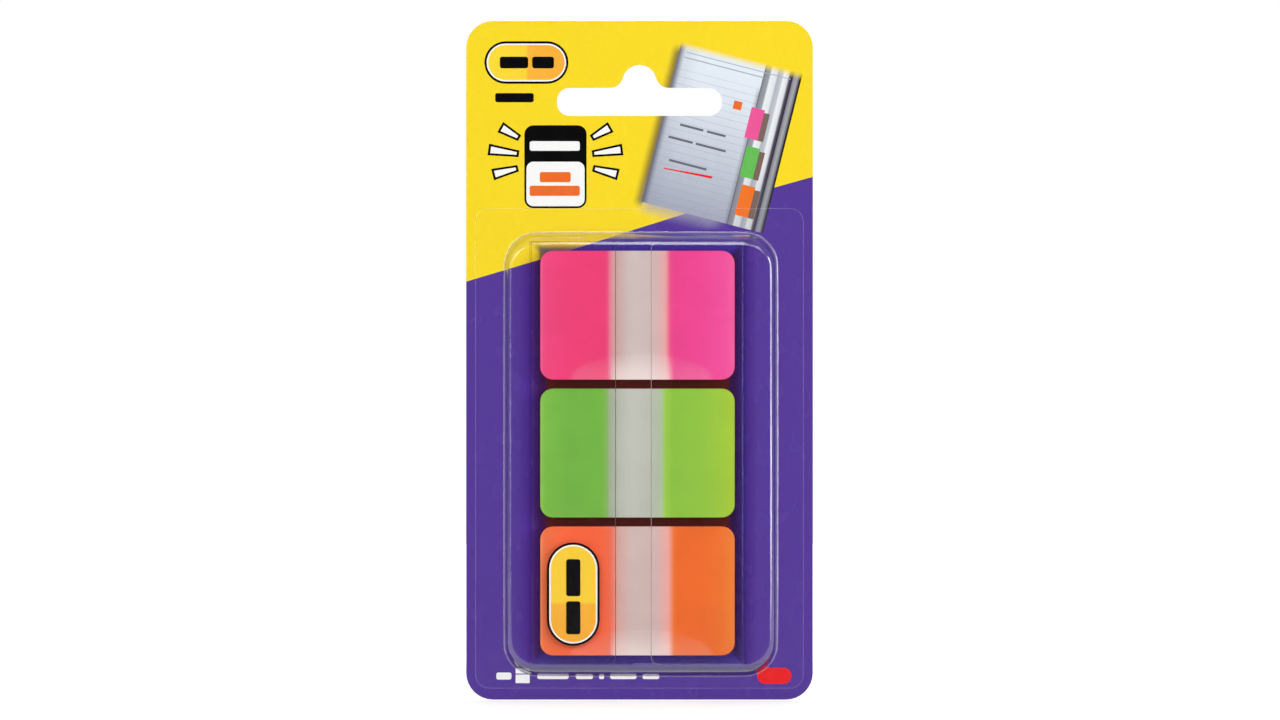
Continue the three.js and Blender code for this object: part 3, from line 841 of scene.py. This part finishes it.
dress("backing_card", board_stock())
dress("print_purple", purple_ink())
dress("print_yellow", yellow_ink())
dress("picture_page", page_ink())
LEAF_BANDS = [
    (0.0, "50525C"), (0.05, "8A8E98"), (0.2, "9DA1AA"), (0.25, "EDF1F5"), (0.44, "E3E8ED"),
    (0.5, "B2B7C1"), (0.64, "C3C8D0"), (0.7, "F1F4F7"), (0.84, "DFE3E8"), (0.9, "5A5563"),
    (1.0, "2C2035"),
]
COVER_BANDS = [
    (0.0, "33283B"), (0.12, "8C8E96"), (0.45, "A9ABB1"), (0.72, "74757D"), (0.84, "18151C"),
    (1.0, "0D0B11"),
]
leaves_ink = banded_ink("ink_leaves_picture", PICTURE_PAGE, PICTURE_LEAVES, LEAF_BANDS)
cover_ink = banded_ink("ink_cover_picture", PICTURE_PAGE + PICTURE_LEAVES, PICTURE_COVER, COVER_BANDS)
dress("picture_leaves", leaves_ink)
dress("picture_cover", cover_ink)
dress("badge_frame", black)
dress("badge_window", white)
dress("emblem_rim", black)
EMBLEM_STOPS = [(-30.2, "FFE03A"), (-22.5, "FFD83A"), (-21.9, "FDB83E"), (-14.5, "FCB23A")]
dress("emblem_face", graded_ink("ink_emblem_face", "X", EMBLEM_STOPS))
dress("red_mark", red)
dress("label_rim", black)
LABEL_STOPS = [(-114.6, "FCB138"), (-106.6, "FDB83E"), (-106.0, "FFD441"), (-95.0, "FFD23F")]
dress("label_face", graded_ink("ink_label_face", "Z", LABEL_STOPS))
dress("picture_tab_pink", ink("ink_picture_pink", "EE5A9B"))
dress("picture_tab_green", ink("ink_picture_green", "68C05A"))
dress("picture_tab_orange", ink("ink_picture_orange", "F4782C"))

for pad in PAD_TINTS:
    inner = {end: inner_tab_material(pad, end) for end in ("left", "right")}
    for number in range(1, TABS_PER_PAD):
        dress(f"{pad}_tab_{number:02d}", inner["left" if number % 2 == 0 else "right"])
    dress(f"{pad}_tab_{TABS_PER_PAD:02d}", front_film_material(pad))
    dress(f"{pad}_coat_front", coat_material(f"coat_{pad}_front", pad, "left"))
    dress(f"{pad}_coat_behind", coat_material(f"coat_{pad}_behind", pad, "right"))

# The blister's film gets a painted highlight along the foot of its dome.
blister_film = clear_film(
    "clear_blister",
    reflectance=0.008,
    shine=0.9,
    wave=0.006,
    edge_tint=(0.78, 0.76, 0.85, 1.0),
    foot_highlight=0.32,
)
sleeve_film = clear_film(
    "clear_sleeve", reflectance=0.006, shine=0.07, wave=0.01, edge_tint=(0.6, 0.56, 0.62, 1.0)
)
blister = dress("blister", blister_film)
sleeve = dress("dispenser_sleeve", sleeve_film)
cut_edge(blister, sheet_edge("blister_edge", [(-40.0, "E4E0EE"), (40.0, "D8D2E8")], 0.1))
# Painted shade and painted light on the sleeve's cut edges: dark left of the flaps' middle, light right of
# it.
cut_edge(sleeve, sheet_edge("sleeve_edge", [(-1.3, "4E3E3C"), (-1.1, "A39792")], 0.66, flap=True))
soften_shoulders(blister)
clear_of_print(sleeve)
for film in (blister, sleeve):
    film.visible_shadow = False
    film.visible_diffuse = False

# Print marks: plain bars and strokes

BAR_RADIUS = 0.4
WIDE_BAR_RADIUS = 0.5


def printed(name, outlines, material):
    return plates(name, outlines, PRINT_FRONT, MARK_FRONT, material)


printed("badge_title_bar", [rounded(-21.7, -11.8, -15.1, -17.0, BAR_RADIUS)], white)
printed(
    "badge_note_bars",
    [rounded(-19.7, -13.6, -21.2, -23.2, BAR_RADIUS), rounded(-21.7, -11.8, -23.9, -25.9, BAR_RADIUS)],
    orange,
)
printed("heading_bar", [rounded(-28.5, -20.9, -5.6, -7.4, BAR_RADIUS)], black)
band(
    "emblem_border",
    rounded(-30.2, -14.5, 4.2, -3.3, 3.75, 10),
    rounded(-29.9, -14.8, 3.9, -3.0, 3.45, 10),
    PRINT_FRONT,
    MARK_FRONT,
    white,
)
printed(
    "emblem_bars",
    [rounded(-27.6, -22.0, 1.6, -0.7, WIDE_BAR_RADIUS), rounded(-21.2, -16.9, 1.6, -0.7, WIDE_BAR_RADIUS)],
    black,
)

RAY_BORDER = 0.45
RAY_FACE_THICKNESS = 0.015
ray_edges, ray_faces = [], []
for angle, near, far in ((150, 8.2, 12.6), (172, 7.3, 13.4), (194, 7.6, 12.8)):
    direction = Vector((math.cos(math.radians(angle)), math.sin(math.radians(angle))))
    centre = Vector(BADGE_MIDDLE)
    edge = stroke(centre + direction * near, centre + direction * far, 1.3, 2.3)
    face_near = centre + direction * (near + RAY_BORDER)
    face_far = centre + direction * (far - RAY_BORDER)
    face = stroke(face_near, face_far, 0.55, 1.35)
    ray_edges += [edge, mirrored(edge, BADGE_MIDDLE[0])]
    ray_faces += [face, mirrored(face, BADGE_MIDDLE[0])]
printed("badge_ray_edges", ray_edges, black)
plates("badge_ray_faces", ray_faces, MARK_FRONT, MARK_FRONT + RAY_FACE_THICKNESS, white)

printed("count_bar", [rounded(-28.3, -25.3, -120.1, -121.5, BAR_RADIUS)], white)
printed(
    "count_icon",
    [rounded(-24.5, -21.7, -119.3, -120.3, 0.1), rounded(-24.5, -21.7, -120.5, -122.2, 0.1)],
    white,
)
printed(
    "size_bars",
    [
        rounded(-20.2, -14.0, -120.1, -121.4, BAR_RADIUS),
        rounded(-12.6, -9.2, -120.3, -121.4, BAR_RADIUS),
        rounded(-8.0, -7.0, -120.3, -121.4, 0.3),
        rounded(-5.8, -0.6, -120.1, -121.4, BAR_RADIUS),
        rounded(0.6, 3.9, -120.3, -121.4, BAR_RADIUS),
    ],
    white,
)

# The printed picture: page edges, a few plain written lines and the shadows of its tabs

printed(
    "picture_page_edges",
    [leaning_box(1.4, 22.0, 1.5, 1.66), leaning_box(1.2, 17.0, 2.5, 2.72)],
    pale_grey,
)
LINE_WEIGHT = 0.42
LINES = ((3.6, 8.2, 15.1), (8.9, 12.6, 15.1), (2.0, 6.8, 17.9), (7.4, 13.3, 17.9), (3.2, 10.6, 22.2))
lines = [leaning_box(start, end, down, down + LINE_WEIGHT) for start, end, down in LINES]
printed("picture_written_lines", lines, grey)
underline = stroke(leaning(2.6, 24.2), leaning(12.0, 23.6), 0.2, 0.45)
printed("picture_underline", [underline], red)
printed("picture_date", [leaning_box(12.6, 14.2, 8.2, 9.8)], orange)
SHADOW_WIDTH = 1.1
SHADOW_HEIGHT = 5.5
SHADOW_FIRST = (PICTURE_PAGE + 1.9, 9.1)
SHADOW_STEP = (0.9, 7.4)
shadows = []
for index in range(3):
    left, top = (first + index * step for first, step in zip(SHADOW_FIRST, SHADOW_STEP))
    shadows.append(leaning_box(left, left + SHADOW_WIDTH, top, top + SHADOW_HEIGHT))
printed("picture_tab_shadows", shadows, brown)

# The oval label: a border inside its rim and two bars

LABEL_BORDER_INSET = 0.02
LABEL_BORDER_WIDTH = 0.3
LABEL_BAR_HALF_WIDTH = 1.4
LABEL_BARS = ((-97.6, -104.9), (-105.9, -112.4))

label_low, label_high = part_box("label_face")
label_left, label_right = label_low.x / MM, label_high.x / MM
label_bottom, label_top = label_low.z / MM, label_high.z / MM
label_radius = (label_right - label_left) / 2
label_back = -label_low.y / MM
label_front = label_back + MARK_THICKNESS


def label_outline(inset, radius):
    sides = (label_left + inset, label_right - inset, label_top - inset, label_bottom + inset)
    return rounded(*sides, radius, 12)


band(
    "label_border",
    label_outline(LABEL_BORDER_INSET, label_radius),
    label_outline(LABEL_BORDER_INSET + LABEL_BORDER_WIDTH, label_radius - LABEL_BORDER_WIDTH),
    label_back,
    label_front,
    white,
)
label_middle = (label_left + label_right) / 2
bar_sides = (label_middle - LABEL_BAR_HALF_WIDTH, label_middle + LABEL_BAR_HALF_WIDTH)
label_bars = [rounded(*bar_sides, top, bottom, WIDE_BAR_RADIUS) for top, bottom in LABEL_BARS]
plates("label_bars", label_bars, label_back, label_front, black)

# Floor, light and camera

FLOOR_GAP = 0.2
FLOOR_HEIGHT = bounds_at_start[0].z - FLOOR_GAP * MM
FLOOR_HALF_WIDTH = 1.0
FLOOR_NEAR = -0.25
FLOOR_FAR = 1.2
FLOOR_LIFT = (0.4, 1.0)
FLOOR_LIFT_REACH = (150.0, 270.0)
FLOOR_IN_GLOSS = 0.9
ROOM_FRONT = 0.22
ROOM_BACK = 0.9
ROOM_TURN = (-0.2, 0.5)


def emission(shader, strength):
    return shader.node("Emission", {"Color": WHITE_LIGHT, "Strength": strength}).outputs[0]


def floor_material():
    """White paper that keeps the shadow near the object and turns plain white further off."""
    shader = Shader("floor_paper")
    place = shader.place()
    grain = shader.noise(place, 0.4, 3.0, 0.6)
    diffuse = shader.principled(
        {
            "Base Color": shader.mix(shader.vary(grain, 0.0, 1.0), colour("F4F4F3"), colour("EEEEEC")),
            "Roughness": shader.vary(grain, 0.85, 0.95),
            "Specular IOR Level": 0.1,
            "Normal": shader.bump(grain, 0.02, 0.3),
        }
    )
    reach = shader.node("VectorMath", {0: place}, operation="LENGTH").outputs["Value"]
    glow = emission(shader, shader.span(reach, *FLOOR_LIFT_REACH, *FLOOR_LIFT))
    lifted = shader.node("AddShader", {0: diffuse, 1: glow}).outputs[0]
    path = shader.node("LightPath")
    seen = shader.math("MAXIMUM", path.outputs["Is Camera Ray"], path.outputs["Is Transmission Ray"])
    surface = shader.node("MixShader", {0: seen, 1: diffuse, 2: lifted}).outputs[0]
    in_gloss = {0: path.outputs["Is Glossy Ray"], 1: surface, 2: emission(shader, FLOOR_IN_GLOSS)}
    return shader.finish(shader.node("MixShader", in_gloss).outputs[0])


floor_bm = bmesh.new()
floor_corners = [(side * FLOOR_HALF_WIDTH, FLOOR_NEAR) for side in (-1, 1)]
floor_corners += [(side * FLOOR_HALF_WIDTH, FLOOR_FAR) for side in (1, -1)]
floor_bm.faces.new([floor_bm.verts.new((x, y, FLOOR_HEIGHT)) for x, y in floor_corners])
floor_mesh = bpy.data.meshes.new("studio_floor")
floor_bm.to_mesh(floor_mesh)
floor_bm.free()
floor = bpy.data.objects.new("studio_floor", floor_mesh)
bpy.context.collection.objects.link(floor)
floor_mesh.materials.append(floor_material())


def make_world():
    """White for the eye, a dimmer room on the camera's side and a dim one in the gloss."""
    world = bpy.data.worlds.new("studio_room")
    bpy.context.scene.world = world
    world.use_nodes = True
    tree = world.node_tree
    tree.nodes.clear()

    def background(strength):
        return add_node(tree, "Background", {"Color": WHITE_LIGHT, "Strength": strength}).outputs[0]

    generated = add_node(tree, "TexCoord").outputs["Generated"]
    direction = add_node(tree, "SeparateXYZ", {0: generated}).outputs["Y"]
    behind = {"Value": direction, "From Min": ROOM_TURN[0], "From Max": ROOM_TURN[1]}
    behind.update({"To Min": ROOM_FRONT, "To Max": ROOM_BACK})
    strength = add_node(tree, "MapRange", behind, interpolation_type="SMOOTHSTEP").outputs[0]
    path = add_node(tree, "LightPath").outputs
    in_gloss = {0: path["Is Glossy Ray"], 1: background(strength), 2: background(ROOM_FRONT)}
    room = add_node(tree, "MixShader", in_gloss).outputs[0]
    rays = {0: path["Is Camera Ray"], 1: path["Is Transmission Ray"]}
    seen = add_node(tree, "Math", rays, operation="MAXIMUM").outputs[0]
    mixed = add_node(tree, "MixShader", {0: seen, 1: room, 2: background(1.0)}).outputs[0]
    add_node(tree, "OutputWorld", {"Surface": mixed})


make_world()

OBJECT_CENTRE = Vector((0.0, -0.003, -0.058))


def softbox(name, place, width, height, radiance):
    """A plain rectangular lamp that faces the object. Its place and size are in metres."""
    lamp = bpy.data.lights.new(name, "AREA")
    lamp.shape = "RECTANGLE"
    lamp.size = width
    lamp.size_y = height
    lamp.energy = radiance * math.pi * width * height
    holder = bpy.data.objects.new(name, lamp)
    holder.location = place
    aim = OBJECT_CENTRE - Vector(place)
    holder.rotation_euler = aim.to_track_quat("-Z", "Y").to_euler()
    bpy.context.collection.objects.link(holder)
    return holder


softbox("key_right", (0.95, -0.6, 0.0), 0.37, 0.9, 7.1)
softbox("key_top", (0.02, -0.62, 0.6), 0.1, 0.4, 4.5)
softbox("edge_left", (-0.95, -0.55, 0.15), 0.06, 0.9, 6.0)
softbox("fill_high", (0.35, -1.1, 0.7), 0.7, 0.5, 3.3)
softbox("fill_high_left", (-0.6, -1.1, 0.5), 0.6, 0.5, 3.8)
softbox("fill_back", (0.4, 0.9, 0.6), 0.6, 0.5, 1.4).visible_glossy = False

scene = bpy.context.scene
scene.view_settings.view_transform = "Standard"

CAMERA_LENS = 200.0
CAMERA_SENSOR = 36.0
VIEW_WIDTH = 252.96
VIEW_CENTRE = (0.1, -58.34)
CAMERA_CLIP = (0.01, 100.0)
camera_data = bpy.data.cameras.new("camera")
camera_data.lens = CAMERA_LENS
camera_data.sensor_width = CAMERA_SENSOR
camera_data.clip_start, camera_data.clip_end = CAMERA_CLIP
camera = bpy.data.objects.new("camera", camera_data)
distance = VIEW_WIDTH * CAMERA_LENS / CAMERA_SENSOR
camera.location = (VIEW_CENTRE[0] * MM, -(distance + PRINT_FRONT) * MM, VIEW_CENTRE[1] * MM)
camera.rotation_euler = (math.pi / 2, 0.0, 0.0)
bpy.context.collection.objects.link(camera)
scene.camera = camera
